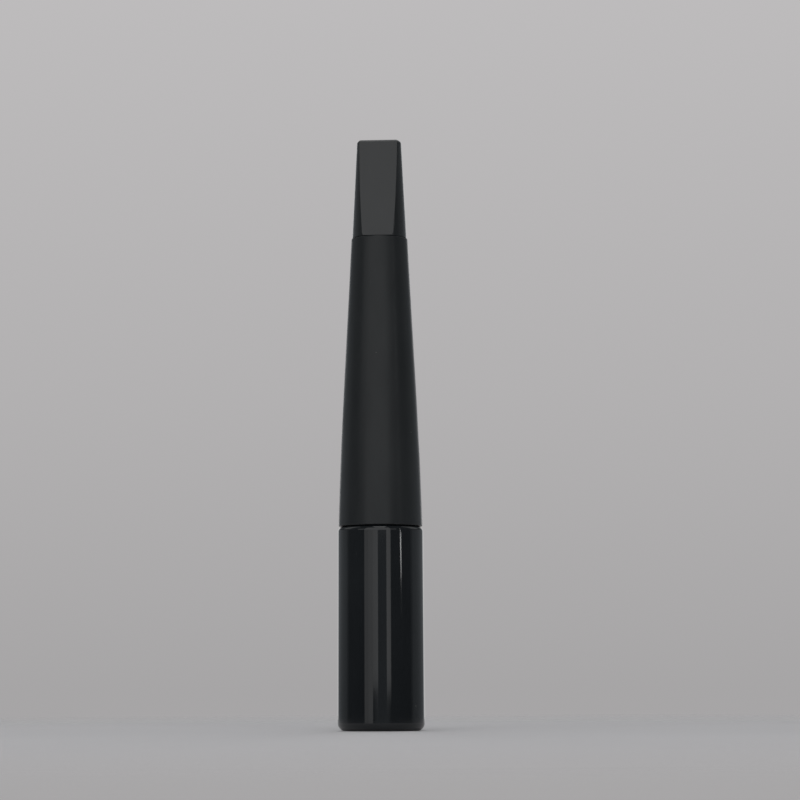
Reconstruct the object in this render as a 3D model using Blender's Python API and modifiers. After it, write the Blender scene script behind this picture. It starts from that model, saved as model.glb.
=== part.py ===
"""Liquid eyeliner: a glossy double-walled bottle and a long tapered screw cap that carries the brush.

Metres, +Z up. The bottle stands on z = 0 with its axis on the Z axis, and the end plug's front flat
faces -Y. Every piece is a separate solid, placed by its seat height on the axis.
"""

import math

import bmesh
import bpy
from mathutils import Matrix

# Clearances between neighbouring pieces
FIT_GAP = 0.0001
SEAT_GAP = 0.00012
RUNNING_GAP = 0.00012
THREAD_CLEARANCE = 0.00015

# Bottle
BOTTLE_HEIGHT = 0.0394
BOTTLE_WALL = 0.00187
BOTTLE_DRAFT = 0.00013
BOTTLE_FLOOR = 0.0018
BASE_FILLET = 0.0015
SHOULDER_FILLET = 0.0010

# Bare label in the recess under the bottle
LABEL_RADIUS = 0.0055
LABEL_THICKNESS = 0.00015
LABEL_MARGIN = 0.0002
LABEL_RECESS_DEPTH = 0.0004

# Vial, the inner wall of the bottle
CHAMBER_RADIUS = 0.0049
CHAMBER_FILLET = 0.0008
CHAMBER_SHOULDER_HEIGHT = 0.0025
VIAL_WALL = 0.0014
VIAL_FLOOR = 0.0012
VIAL_FILLET = 0.0006
VIAL_FLANGE_WIDTH = 0.0003
VIAL_FLANGE_THICKNESS = 0.0014

# Neck of the vial, with the screw thread
NECK_BORE_RADIUS = 0.0031
NECK_WALL = 0.0010
NECK_HEIGHT = 0.0090
NECK_CHAMFER = 0.0002
THREAD_DEPTH = 0.0005
THREAD_ROUND = 0.00055
THREAD_LEAD = 0.0025
THREAD_START = 0.0024
THREAD_TURNS = 1.5
THREAD_BURIAL = 0.00005

# Wiper pressed into the neck
WIPER_WALL = 0.0006
WIPER_FLANGE_THICKNESS = 0.0007
WIPER_FLANGE_INSET = 0.0002
WIPER_TUBE_LENGTH = 0.0060
WIPER_CONE_LENGTH = 0.0035
WIPER_LIP = 0.0004

# Mixing ball
BALL_RADIUS = 0.00125

# Outer sleeve of the cap
CAP_GAP = 0.00015
SLEEVE_LENGTH = 0.0561
SLEEVE_SETBACK = 0.00015
SLEEVE_TOP_RADIUS = 0.00547
SLEEVE_BELLY = 0.00019
SLEEVE_WALL = 0.0012
SLEEVE_TOP_ROUND = 0.00025
SLEEVE_BASE_ROUND = 0.00025

# Inner cap, pressed into the sleeve
INNER_CAP_SETBACK = 0.0004
INNER_CAP_CROWN = 0.0010
SOCKET_DEPTH = 0.0045
GASKET_THICKNESS = 0.0008
RIB_HEIGHT = 0.0002
RIB_WIDTH = 0.0006
RIB_ROOT = 0.0003
RIB_END_MARGIN = 0.0015

# End plug with its two converging flats
PLUG_LENGTH = 0.01923
PLUG_STEP = 0.00016
PLUG_TIP_RADIUS = 0.00433
PLUG_TIP_ROUND = 0.0005
PLUG_BASE_HALF_THICKNESS = 0.00442
PLUG_TIP_HALF_THICKNESS = 0.00219
PLUG_WALL = 0.0010
PLUG_CORE_DEPTH = 0.0095
SPIGOT_LENGTH = 0.0080
SPIGOT_CHAMFER = 0.0004

# Applicator
STEM_RADIUS = 0.0015
STEM_TIP_RADIUS = 0.0013
STEM_CHAMFER = 0.0003
COLLAR_WIDTH = 0.0007
COLLAR_THICKNESS = 0.0006
FERRULE_RADIUS = 0.0009
FERRULE_TIP_RADIUS = 0.00075
FERRULE_LENGTH = 0.0080
FERRULE_INSERT = 0.0030
TUFT_RADIUS = 0.0005
TUFT_TIP_RADIUS = 0.0001
TUFT_LENGTH = 0.0080
TUFT_INSERT = 0.0025
BRUSH_FLOOR_GAP = 0.0045

# A cutter's overrun past the solid that it cuts
CUT_OVERRUN = 0.0020

# Counts, shares and angles
OUTER_SEGMENTS = 48
INNER_SEGMENTS = 32
SMALL_SEGMENTS = 16
FILLET_STEPS = 4
FLANK_STEPS = 10
THREAD_POINTS_PER_TURN = 24
THREAD_RAMP_SHARE = 0.15
THREAD_END_SHARE = 0.4
TAPER_START_SHARE = 0.5
RIB_COUNT = 12
FLAT_TURN_DEGREES = -4.5
MERGE_DISTANCE_SHARE = 0.02

# Radii that follow from the walls, from the inside out
VIAL_RADIUS = CHAMBER_RADIUS + VIAL_WALL
VIAL_FLANGE_RADIUS = VIAL_RADIUS + VIAL_FLANGE_WIDTH
BOTTLE_BORE_RADIUS = VIAL_RADIUS + FIT_GAP
BOTTLE_TOP_RADIUS = BOTTLE_BORE_RADIUS + BOTTLE_WALL
BOTTLE_BASE_RADIUS = BOTTLE_TOP_RADIUS + BOTTLE_DRAFT
LABEL_RECESS_RADIUS = LABEL_RADIUS + LABEL_MARGIN
NECK_RADIUS = NECK_BORE_RADIUS + NECK_WALL
NECK_CREST_RADIUS = NECK_RADIUS + THREAD_DEPTH
CAP_CREST_RADIUS = NECK_CREST_RADIUS + THREAD_CLEARANCE
CAP_BORE_RADIUS = CAP_CREST_RADIUS + THREAD_DEPTH
WIPER_RADIUS = NECK_BORE_RADIUS - FIT_GAP
WIPER_FLANGE_RADIUS = NECK_RADIUS - WIPER_FLANGE_INSET
ORIFICE_RADIUS = STEM_RADIUS + RUNNING_GAP
COLLAR_RADIUS = STEM_RADIUS + COLLAR_WIDTH
STEM_SOCKET_RADIUS = STEM_RADIUS + FIT_GAP
FERRULE_SOCKET_RADIUS = FERRULE_RADIUS + FIT_GAP
TUFT_SOCKET_RADIUS = TUFT_RADIUS + FIT_GAP
SLEEVE_BASE_RADIUS = BOTTLE_TOP_RADIUS - SLEEVE_SETBACK
SLEEVE_TOP_BORE_RADIUS = SLEEVE_TOP_RADIUS - SLEEVE_WALL
PLUG_BASE_RADIUS = SLEEVE_TOP_RADIUS - PLUG_STEP
SPIGOT_RADIUS = SLEEVE_TOP_BORE_RADIUS - FIT_GAP

# Seat heights on the axis
BOTTLE_FLOOR_TOP = LABEL_RECESS_DEPTH + BOTTLE_FLOOR
VIAL_BASE = BOTTLE_FLOOR_TOP + SEAT_GAP
CHAMBER_BASE = VIAL_BASE + VIAL_FLOOR
NECK_TOP = BOTTLE_HEIGHT + NECK_HEIGHT
WIPER_SEAT = NECK_TOP + SEAT_GAP
GASKET_SEAT = WIPER_SEAT + WIPER_FLANGE_THICKNESS + SEAT_GAP
CAP_CEILING = GASKET_SEAT + GASKET_THICKNESS + SEAT_GAP
CAP_BASE = BOTTLE_HEIGHT + CAP_GAP
INNER_CAP_BASE = CAP_BASE + INNER_CAP_SETBACK
INNER_CAP_TOP = CAP_CEILING + SOCKET_DEPTH + INNER_CAP_CROWN
PLUG_SEAT = CAP_BASE + SLEEVE_LENGTH + SEAT_GAP
COLLAR_SEAT = CAP_CEILING - SEAT_GAP
TUFT_TOP = CHAMBER_BASE + BRUSH_FLOOR_GAP + TUFT_LENGTH + TUFT_INSERT
FERRULE_TOP = TUFT_TOP - TUFT_INSERT + FERRULE_LENGTH
STEM_BASE = FERRULE_TOP - FERRULE_INSERT


def clear_scene():
    """Empties the file, so that the script gives the same model each time."""
    for item in list(bpy.data.objects):
        bpy.data.objects.remove(item, do_unlink=True)
    for group in list(bpy.data.collections):
        bpy.data.collections.remove(group)


def new_collection(name):
    group = bpy.data.collections.new(name)
    bpy.context.scene.collection.children.link(group)
    return group


def principled(name, colour, roughness, metallic=0.0):
    """One plain material with the piece's own colour and finish."""
    material = bpy.data.materials.new(name)
    material.use_nodes = True
    shader = material.node_tree.nodes["Principled BSDF"]
    shader.inputs["Base Color"].default_value = (*colour, 1.0)
    shader.inputs["Roughness"].default_value = roughness
    shader.inputs["Metallic"].default_value = metallic
    material.diffuse_color = (*colour, 1.0)
    return material


def arc(centre_radius, centre_height, radius, start_degrees, end_degrees):
    """Points of a fillet in the profile plane, from one angle to the other."""
    points = []
    for step in range(FILLET_STEPS + 1):
        share = step / FILLET_STEPS
        angle = math.radians(start_degrees + (end_degrees - start_degrees) * share)
        across = centre_radius + radius * math.cos(angle)
        along = centre_height + radius * math.sin(angle)
        points.append((across, along))
    return points


def turned(name, points, material, closed=False, segments=OUTER_SEGMENTS):
    """A turned piece: its profile runs down the outer side and is swept once round the axis."""
    mesh = bpy.data.meshes.new(name)
    vertices = [(across, 0.0, along) for across, along in points]
    edges = [(index, index + 1) for index in range(len(points) - 1)]
    if closed:
        edges.append((len(points) - 1, 0))
    mesh.from_pydata(vertices, edges, [])
    piece = bpy.data.objects.new(name, mesh)
    screw = piece.modifiers.new("Turn", "SCREW")
    screw.axis = "Z"
    screw.steps = segments
    screw.render_steps = segments
    screw.use_merge_vertices = True
    screw.merge_threshold = FIT_GAP * MERGE_DISTANCE_SHARE
    screw.use_smooth_shade = True
    mesh.materials.append(material)
    return piece


def mesh_from_curve(curve_object, group):
    """The curve's tube as a closed mesh, because a curve can't be joined to a solid."""
    bpy.context.view_layer.update()
    evaluated = curve_object.evaluated_get(bpy.context.evaluated_depsgraph_get())
    mesh = bpy.data.meshes.new_from_object(evaluated)
    shape = bmesh.new()
    shape.from_mesh(mesh)
    bmesh.ops.remove_doubles(shape, verts=shape.verts, dist=FIT_GAP * MERGE_DISTANCE_SHARE)
    bmesh.ops.recalc_face_normals(shape, faces=shape.faces)
    shape.to_mesh(mesh)
    shape.free()
    solid = bpy.data.objects.new(curve_object.name + "_solid", mesh)
    solid.matrix_world = curve_object.matrix_world
    group.objects.link(solid)
    bpy.data.objects.remove(curve_object, do_unlink=True)
    hide_guide(solid)
    return solid


def hide_guide(item):
    item.hide_render = True
    item.display_type = "WIRE"


def boolean(piece, other, operation):
    modifier = piece.modifiers.new(operation.title(), "BOOLEAN")
    modifier.operation = operation
    modifier.solver = "EXACT"
    modifier.object = other


def thread_tube(name, root_radius, side, start_height, group):
    """A rounded screw thread: a tube along a helix that sinks into the wall at both ends.

    side is +1 for a thread that stands out of the wall and -1 for one that stands into a bore.
    """
    crest_radius = root_radius + side * THREAD_DEPTH
    full_radius = crest_radius - side * THREAD_ROUND
    sunk_radius = root_radius - side * (THREAD_ROUND * THREAD_END_SHARE + THREAD_BURIAL)
    count = round(THREAD_TURNS * THREAD_POINTS_PER_TURN) + 1
    curve = bpy.data.curves.new(name, "CURVE")
    curve.dimensions = "3D"
    curve.bevel_depth = THREAD_ROUND
    curve.bevel_resolution = 2
    curve.render_resolution_u = 0
    curve.use_fill_caps = True
    spline = curve.splines.new("POLY")
    spline.points.add(count - 1)
    for index, point in enumerate(spline.points):
        share = index / (count - 1)
        lift = min(1.0, share / THREAD_RAMP_SHARE, (1.0 - share) / THREAD_RAMP_SHARE)
        angle = 2.0 * math.pi * THREAD_TURNS * share
        radius = sunk_radius + (full_radius - sunk_radius) * lift
        height = start_height + THREAD_LEAD * THREAD_TURNS * share
        point.co = (radius * math.cos(angle), radius * math.sin(angle), height, 1.0)
        point.radius = THREAD_END_SHARE + (1.0 - THREAD_END_SHARE) * lift
    tube = bpy.data.objects.new(name, curve)
    group.objects.link(tube)
    return mesh_from_curve(tube, group)


def sleeve_flank(height):
    """Outer radius of the sleeve: a straight taper with a slight belly at a third of its height."""
    share = height / SLEEVE_LENGTH
    straight = SLEEVE_BASE_RADIUS + (SLEEVE_TOP_RADIUS - SLEEVE_BASE_RADIUS) * share
    belly_share = share * (1.0 - share) ** 2 / ((1.0 / 3.0) * (2.0 / 3.0) ** 2)
    return straight + SLEEVE_BELLY * belly_share


def flank_points(start, end, inset, steps):
    """Profile points along the sleeve's flank, moved inwards by a wall or a clearance."""
    points = []
    for step in range(steps + 1):
        height = start + (end - start) * step / steps
        points.append((sleeve_flank(height) - inset, height))
    return points


def make_outer_bottle():
    ledge = BOTTLE_HEIGHT - VIAL_FLANGE_THICKNESS - SEAT_GAP
    mouth = VIAL_FLANGE_RADIUS + FIT_GAP
    points = [(0.0, BOTTLE_FLOOR_TOP), (BOTTLE_BORE_RADIUS, BOTTLE_FLOOR_TOP)]
    points += [(BOTTLE_BORE_RADIUS, ledge), (mouth, ledge), (mouth, BOTTLE_HEIGHT)]
    shoulder_height = BOTTLE_HEIGHT - SHOULDER_FILLET
    points += arc(BOTTLE_TOP_RADIUS - SHOULDER_FILLET, shoulder_height, SHOULDER_FILLET, 90, 0)
    points += arc(BOTTLE_BASE_RADIUS - BASE_FILLET, BASE_FILLET, BASE_FILLET, 0, -90)
    points += [(LABEL_RECESS_RADIUS, 0.0), (LABEL_RECESS_RADIUS, LABEL_RECESS_DEPTH)]
    points.append((0.0, LABEL_RECESS_DEPTH))
    return turned("outer_bottle", points, principled("bottle_gloss_black", (0.010, 0.010, 0.011), 0.08))


def make_base_label():
    mesh = bpy.data.meshes.new("base_label")
    shape = bmesh.new()
    bmesh.ops.create_cone(
        shape, cap_ends=True, segments=OUTER_SEGMENTS,
        radius1=LABEL_RADIUS, radius2=LABEL_RADIUS, depth=LABEL_THICKNESS)
    shape.to_mesh(mesh)
    shape.free()
    mesh.materials.append(principled("label_paper", (0.60, 0.59, 0.57), 0.55))
    label = bpy.data.objects.new("base_label", mesh)
    label.location.z = LABEL_RECESS_DEPTH - SEAT_GAP - LABEL_THICKNESS / 2
    return label


def make_inner_vial(cutters):
    """The vial's chamber, the flange that seats it in the bottle's mouth, and the threaded neck."""
    flange_top = BOTTLE_HEIGHT - VIAL_BASE
    flange_base = flange_top - VIAL_FLANGE_THICKNESS
    neck_top = NECK_TOP - VIAL_BASE
    cone_base = flange_top - CHAMBER_SHOULDER_HEIGHT
    points = [(0.0, VIAL_FLOOR)]
    fillet_height = VIAL_FLOOR + CHAMBER_FILLET
    points += arc(CHAMBER_RADIUS - CHAMBER_FILLET, fillet_height, CHAMBER_FILLET, -90, 0)
    points += [(CHAMBER_RADIUS, cone_base), (NECK_BORE_RADIUS, flange_top), (NECK_BORE_RADIUS, neck_top)]
    points += [(NECK_RADIUS - NECK_CHAMFER, neck_top), (NECK_RADIUS, neck_top - NECK_CHAMFER)]
    points += [(NECK_RADIUS, flange_top), (VIAL_FLANGE_RADIUS, flange_top)]
    points += [(VIAL_FLANGE_RADIUS, flange_base), (VIAL_RADIUS, flange_base)]
    points += arc(VIAL_RADIUS - VIAL_FILLET, VIAL_FILLET, VIAL_FILLET, 0, -90)
    points.append((0.0, 0.0))
    material = principled("vial_natural_plastic", (0.62, 0.62, 0.58), 0.35)
    vial = turned("inner_vial", points, material)
    vial.location.z = VIAL_BASE
    start = BOTTLE_HEIGHT + THREAD_START
    boolean(vial, thread_tube("neck_thread", NECK_RADIUS, 1, start, cutters), "UNION")
    return vial


def make_neck_wiper():
    """A flanged tube whose lower end narrows to the hole that wipes the stem."""
    bore = WIPER_RADIUS - WIPER_WALL
    tip = -WIPER_TUBE_LENGTH - WIPER_CONE_LENGTH
    points = [(bore, WIPER_FLANGE_THICKNESS), (WIPER_FLANGE_RADIUS, WIPER_FLANGE_THICKNESS)]
    points += [(WIPER_FLANGE_RADIUS, 0.0), (WIPER_RADIUS, 0.0), (WIPER_RADIUS, -WIPER_TUBE_LENGTH)]
    points += [(ORIFICE_RADIUS + WIPER_LIP, tip), (ORIFICE_RADIUS, tip), (bore, -WIPER_TUBE_LENGTH)]
    material = principled("wiper_soft_plastic", (0.70, 0.70, 0.68), 0.45)
    wiper = turned("neck_wiper", points, material, closed=True, segments=INNER_SEGMENTS)
    wiper.location.z = WIPER_SEAT
    return wiper


def make_agitator_ball():
    """A steel ball lying loose on the chamber's floor beside its wall."""
    mesh = bpy.data.meshes.new("agitator_ball")
    shape = bmesh.new()
    bmesh.ops.create_uvsphere(
        shape, u_segments=SMALL_SEGMENTS, v_segments=SMALL_SEGMENTS // 2, radius=BALL_RADIUS)
    shape.to_mesh(mesh)
    shape.free()
    mesh.shade_smooth()
    mesh.materials.append(principled("ball_steel", (0.55, 0.55, 0.56), 0.15, metallic=1.0))
    ball = bpy.data.objects.new("agitator_ball", mesh)
    reach = CHAMBER_RADIUS - FIT_GAP - BALL_RADIUS
    ball.location = (reach, 0.0, CHAMBER_BASE + SEAT_GAP + BALL_RADIUS)
    return ball


def make_cap_gasket():
    inner = COLLAR_RADIUS + RUNNING_GAP
    outer = CAP_CREST_RADIUS - THREAD_CLEARANCE
    points = [(inner, GASKET_THICKNESS), (outer, GASKET_THICKNESS), (outer, 0.0), (inner, 0.0)]
    material = principled("gasket_foam", (0.66, 0.65, 0.62), 0.8)
    gasket = turned("cap_gasket", points, material, closed=True, segments=INNER_SEGMENTS)
    gasket.location.z = GASKET_SEAT
    return gasket


def make_rib_ring(cutters):
    """Grip ribs of the inner cap, each a bar that leans with the sleeve's flank."""
    low = INNER_CAP_BASE - CAP_BASE + RIB_END_MARGIN
    high = INNER_CAP_TOP - CAP_BASE - RIB_END_MARGIN
    inset = SLEEVE_WALL + FIT_GAP
    low_radius = sleeve_flank(low) - inset
    high_radius = sleeve_flank(high) - inset
    lean = math.atan2(high_radius - low_radius, high - low)
    length = math.hypot(high_radius - low_radius, high - low)
    depth = RIB_HEIGHT + RIB_ROOT
    middle = Matrix.Translation(((low_radius + high_radius) / 2, 0.0, (low + high) / 2 + CAP_BASE))
    tilt = Matrix.Rotation(lean, 4, "Y")
    inwards = Matrix.Translation((-depth / 2, 0.0, 0.0))
    size = Matrix.Diagonal((depth, RIB_WIDTH, length, 1.0))
    shape = bmesh.new()
    for index in range(RIB_COUNT):
        spin = Matrix.Rotation(2.0 * math.pi * index / RIB_COUNT, 4, "Z")
        bmesh.ops.create_cube(shape, size=1.0, matrix=spin @ middle @ tilt @ inwards @ size)
    mesh = bpy.data.meshes.new("grip_ribs")
    shape.to_mesh(mesh)
    shape.free()
    ribs = bpy.data.objects.new("grip_ribs", mesh)
    cutters.objects.link(ribs)
    hide_guide(ribs)
    return ribs


def make_inner_cap(cutters):
    """The threaded cup that screws onto the neck, with the blind socket for the stem in its crown."""
    ceiling = CAP_CEILING - INNER_CAP_BASE
    socket_top = ceiling + SOCKET_DEPTH
    top = INNER_CAP_TOP - INNER_CAP_BASE
    inset = SLEEVE_WALL + FIT_GAP + RIB_HEIGHT
    shift = INNER_CAP_BASE - CAP_BASE
    outside = [(radius, height - shift) for radius, height in flank_points(top + shift, shift, inset, 4)]
    points = [(0.0, top)] + outside
    points += [(CAP_BORE_RADIUS, 0.0), (CAP_BORE_RADIUS, ceiling), (STEM_SOCKET_RADIUS, ceiling)]
    points += [(STEM_SOCKET_RADIUS, socket_top), (0.0, socket_top)]
    material = principled("inner_cap_plastic", (0.020, 0.020, 0.021), 0.4)
    cap = turned("inner_cap", points, material)
    cap.location.z = INNER_CAP_BASE
    start = BOTTLE_HEIGHT + THREAD_START
    boolean(cap, thread_tube("cap_thread", CAP_BORE_RADIUS, -1, start, cutters), "UNION")
    boolean(cap, make_rib_ring(cutters), "UNION")
    return cap


def make_outer_cap_sleeve():
    """The tapered shell of the cap, open at its base and bored at its top for the plug's spigot."""
    bore_base = SLEEVE_LENGTH - SPIGOT_LENGTH - SLEEVE_WALL
    top_round_height = SLEEVE_LENGTH - SLEEVE_TOP_ROUND
    points = [(SLEEVE_TOP_BORE_RADIUS, bore_base), (SLEEVE_TOP_BORE_RADIUS, SLEEVE_LENGTH)]
    points += arc(sleeve_flank(top_round_height) - SLEEVE_TOP_ROUND, top_round_height, SLEEVE_TOP_ROUND, 90, 0)
    points += flank_points(top_round_height, SLEEVE_BASE_ROUND, 0.0, FLANK_STEPS)[1:-1]
    foot_radius = sleeve_flank(SLEEVE_BASE_ROUND) - SLEEVE_BASE_ROUND
    points += arc(foot_radius, SLEEVE_BASE_ROUND, SLEEVE_BASE_ROUND, 0, -90)
    points += flank_points(0.0, bore_base, SLEEVE_WALL, FLANK_STEPS)
    material = principled("cap_satin_black", (0.022, 0.022, 0.023), 0.35)
    sleeve = turned("outer_cap_sleeve", points, material, closed=True)
    sleeve.location.z = CAP_BASE
    return sleeve


def make_flat_cutter(name, turn_degrees, cutters):
    """A block whose inner face is the slanted plane of one flat of the end plug."""
    slope = math.atan2(PLUG_BASE_HALF_THICKNESS - PLUG_TIP_HALF_THICKNESS, PLUG_LENGTH)
    depth = PLUG_BASE_RADIUS
    width = 2 * PLUG_BASE_RADIUS + CUT_OVERRUN
    length = PLUG_LENGTH + CUT_OVERRUN
    middle_thickness = (PLUG_BASE_HALF_THICKNESS + PLUG_TIP_HALF_THICKNESS) / 2
    place = Matrix.Translation((0.0, -middle_thickness, PLUG_SEAT + PLUG_LENGTH / 2))
    lean = Matrix.Rotation(-slope, 4, "X")
    outwards = Matrix.Translation((0.0, -depth / 2, 0.0))
    spin = Matrix.Rotation(math.radians(turn_degrees), 4, "Z")
    size = Matrix.Diagonal((width, depth, length, 1.0))
    shape = bmesh.new()
    bmesh.ops.create_cube(shape, size=1.0, matrix=spin @ place @ lean @ outwards @ size)
    mesh = bpy.data.meshes.new(name)
    shape.to_mesh(mesh)
    shape.free()
    cutter = bpy.data.objects.new(name, mesh)
    cutters.objects.link(cutter)
    hide_guide(cutter)
    return cutter


def make_end_plug(cutters):
    """The chisel-shaped end: a cone on a cored spigot, cut by a flat in front and one behind."""
    core = SPIGOT_RADIUS - PLUG_WALL
    core_top = PLUG_CORE_DEPTH - SPIGOT_LENGTH
    points = [(0.0, PLUG_LENGTH)]
    points += arc(PLUG_TIP_RADIUS - PLUG_TIP_ROUND, PLUG_LENGTH - PLUG_TIP_ROUND, PLUG_TIP_ROUND, 90, 0)
    points += [(PLUG_BASE_RADIUS, 0.0), (SPIGOT_RADIUS, 0.0)]
    points += [(SPIGOT_RADIUS, -SPIGOT_LENGTH + SPIGOT_CHAMFER), (SPIGOT_RADIUS - SPIGOT_CHAMFER, -SPIGOT_LENGTH)]
    points += [(core, -SPIGOT_LENGTH), (core, core_top), (0.0, core_top)]
    material = principled("plug_satin_black", (0.028, 0.028, 0.029), 0.38)
    plug = turned("end_plug", points, material)
    plug.location.z = PLUG_SEAT
    boolean(plug, make_flat_cutter("front_flat", FLAT_TURN_DEGREES, cutters), "DIFFERENCE")
    boolean(plug, make_flat_cutter("rear_flat", FLAT_TURN_DEGREES + 180, cutters), "DIFFERENCE")
    return plug


def make_applicator_stem():
    """The rod that hangs from the cap's crown, with a collar under the crown and a socket below."""
    insert = SOCKET_DEPTH
    base = STEM_BASE - COLLAR_SEAT
    taper_start = base * TAPER_START_SHARE
    socket_top = base + FERRULE_INSERT + SEAT_GAP
    points = [(0.0, insert), (STEM_RADIUS - STEM_CHAMFER, insert), (STEM_RADIUS, insert - STEM_CHAMFER)]
    points += [(STEM_RADIUS, 0.0), (COLLAR_RADIUS, 0.0), (COLLAR_RADIUS, -COLLAR_THICKNESS)]
    points += [(STEM_RADIUS, -COLLAR_THICKNESS), (STEM_RADIUS, taper_start), (STEM_TIP_RADIUS, base)]
    points += [(FERRULE_SOCKET_RADIUS, base), (FERRULE_SOCKET_RADIUS, socket_top), (0.0, socket_top)]
    material = principled("stem_black_plastic", (0.018, 0.018, 0.019), 0.3)
    stem = turned("applicator_stem", points, material, segments=INNER_SEGMENTS)
    stem.location.z = COLLAR_SEAT
    return stem


def make_brush_ferrule():
    """The small tube that holds the hairs, pressed up into the end of the stem."""
    socket_top = -FERRULE_LENGTH + TUFT_INSERT + SEAT_GAP
    points = [(0.0, 0.0), (FERRULE_RADIUS, 0.0), (FERRULE_RADIUS, -FERRULE_INSERT)]
    points += [(FERRULE_TIP_RADIUS, -FERRULE_LENGTH), (TUFT_SOCKET_RADIUS, -FERRULE_LENGTH)]
    points += [(TUFT_SOCKET_RADIUS, socket_top), (0.0, socket_top)]
    material = principled("ferrule_black_plastic", (0.03, 0.03, 0.03), 0.35)
    ferrule = turned("brush_ferrule", points, material, segments=SMALL_SEGMENTS)
    ferrule.location.z = FERRULE_TOP
    return ferrule


def make_brush_tuft():
    """The bundle of hairs, as one tapering solid with a fine point."""
    points = [(0.0, 0.0), (TUFT_RADIUS, 0.0)]
    for step in range(FILLET_STEPS + 1):
        share = step / FILLET_STEPS
        radius = TUFT_RADIUS + (TUFT_TIP_RADIUS - TUFT_RADIUS) * share ** 2
        points.append((radius, -TUFT_INSERT - TUFT_LENGTH * share))
    points.append((0.0, -TUFT_INSERT - TUFT_LENGTH))
    material = principled("brush_hair_black", (0.012, 0.012, 0.012), 0.5)
    tuft = turned("brush_tuft", points, material, segments=SMALL_SEGMENTS)
    tuft.location.z = TUFT_TOP
    return tuft


def axis_empty(name, height, group):
    """An empty on the cap's axis, the parent of pieces that move together."""
    empty = bpy.data.objects.new(name, None)
    empty.location.z = height
    group.objects.link(empty)
    return empty


def hang_on(empty, pieces):
    """Parents the pieces to the empty and keeps their places."""
    for piece in pieces:
        piece.location.z -= empty.location.z
        piece.parent = empty


def build():
    clear_scene()
    eyeliner = new_collection("eyeliner")
    cutters = new_collection("cutters")
    bottle_pieces = [make_outer_bottle(), make_base_label(), make_inner_vial(cutters), make_neck_wiper()]
    loose_pieces = [make_agitator_ball(), make_cap_gasket()]
    applicator_pieces = [make_applicator_stem(), make_brush_ferrule(), make_brush_tuft()]
    cap_pieces = [make_inner_cap(cutters), make_outer_cap_sleeve(), make_end_plug(cutters)]
    for piece in bottle_pieces + loose_pieces + applicator_pieces + cap_pieces:
        eyeliner.objects.link(piece)
    hang_on(axis_empty("applicator_axis", COLLAR_SEAT, eyeliner), applicator_pieces)
    hang_on(axis_empty("cap_axis", CAP_BASE, eyeliner), cap_pieces)


build()
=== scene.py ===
"""The looks of the eyeliner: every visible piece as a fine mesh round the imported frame, with its finish."""

import math
import random

import bpy
from mathutils import Matrix, Vector


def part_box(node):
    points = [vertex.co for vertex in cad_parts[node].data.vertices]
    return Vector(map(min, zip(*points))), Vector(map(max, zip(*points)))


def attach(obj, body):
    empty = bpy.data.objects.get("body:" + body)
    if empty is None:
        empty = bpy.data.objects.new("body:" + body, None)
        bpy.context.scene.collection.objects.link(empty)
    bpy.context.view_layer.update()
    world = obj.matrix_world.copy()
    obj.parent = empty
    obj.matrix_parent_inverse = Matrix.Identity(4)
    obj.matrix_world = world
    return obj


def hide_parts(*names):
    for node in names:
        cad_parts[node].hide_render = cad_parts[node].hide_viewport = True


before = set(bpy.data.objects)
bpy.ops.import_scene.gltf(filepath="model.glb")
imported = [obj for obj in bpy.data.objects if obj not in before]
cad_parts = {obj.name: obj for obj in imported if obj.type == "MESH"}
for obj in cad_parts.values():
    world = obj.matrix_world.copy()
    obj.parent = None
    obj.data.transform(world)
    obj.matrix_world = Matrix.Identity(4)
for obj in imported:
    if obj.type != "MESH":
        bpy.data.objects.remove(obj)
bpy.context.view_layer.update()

# Places and sizes read from the frame, in metres
BOTTLE_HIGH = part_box("outer_bottle")[1]
VIAL_LOW, VIAL_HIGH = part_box("inner_vial")
WIPER_LOW, WIPER_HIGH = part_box("neck_wiper")
GASKET_LOW, GASKET_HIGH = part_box("cap_gasket")
SLEEVE_LOW, SLEEVE_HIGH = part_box("outer_cap_sleeve")
INNER_CAP_LOW, INNER_CAP_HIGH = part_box("inner_cap")
PLUG_LOW, PLUG_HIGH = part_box("end_plug")
STEM_LOW, STEM_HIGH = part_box("applicator_stem")
FERRULE_LOW, FERRULE_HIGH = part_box("brush_ferrule")
TUFT_LOW, TUFT_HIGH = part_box("brush_tuft")
BALL_LOW, BALL_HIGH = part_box("agitator_ball")
LABEL_LOW, LABEL_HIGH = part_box("base_label")

# Clearances and the round of a small edge
FIT_GAP = 0.0001
SEAT_GAP = 0.00012
EDGE_ROUND = 0.00008

# Bottle and vial
BOTTLE_BORE_RADIUS = 0.0064
BOTTLE_TOP_RADIUS = 0.00827
BOTTLE_FLOOR = 0.0018
BASE_FILLET = 0.0015
SHOULDER_FILLET = 0.0010
LABEL_MARGIN = 0.0002
LABEL_EDGE_SHARE = 1 / 3
RECESS_DEPTH = 0.0004
CHAMBER_RADIUS = 0.0049
CHAMBER_FILLET = 0.0008
CHAMBER_SHOULDER_HEIGHT = 0.0025
VIAL_RADIUS = 0.0063
VIAL_FLOOR = 0.0012
VIAL_FILLET = 0.0006
VIAL_FLANGE_THICKNESS = 0.0014

# Neck and thread
NECK_BORE_RADIUS = 0.0031
NECK_RADIUS = 0.0041
NECK_ROUND = 0.0002
THREAD_DEPTH = 0.0005
THREAD_LEAD = 0.0025
THREAD_START = 0.0024
THREAD_TURNS = 1.5
THREAD_ROOT_HALF_WIDTH = 0.0005
THREAD_CREST_HALF_WIDTH = 0.00016
THREAD_RAMP_TURNS = 0.18
THREAD_ROW_HEIGHT = 0.00009

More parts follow.
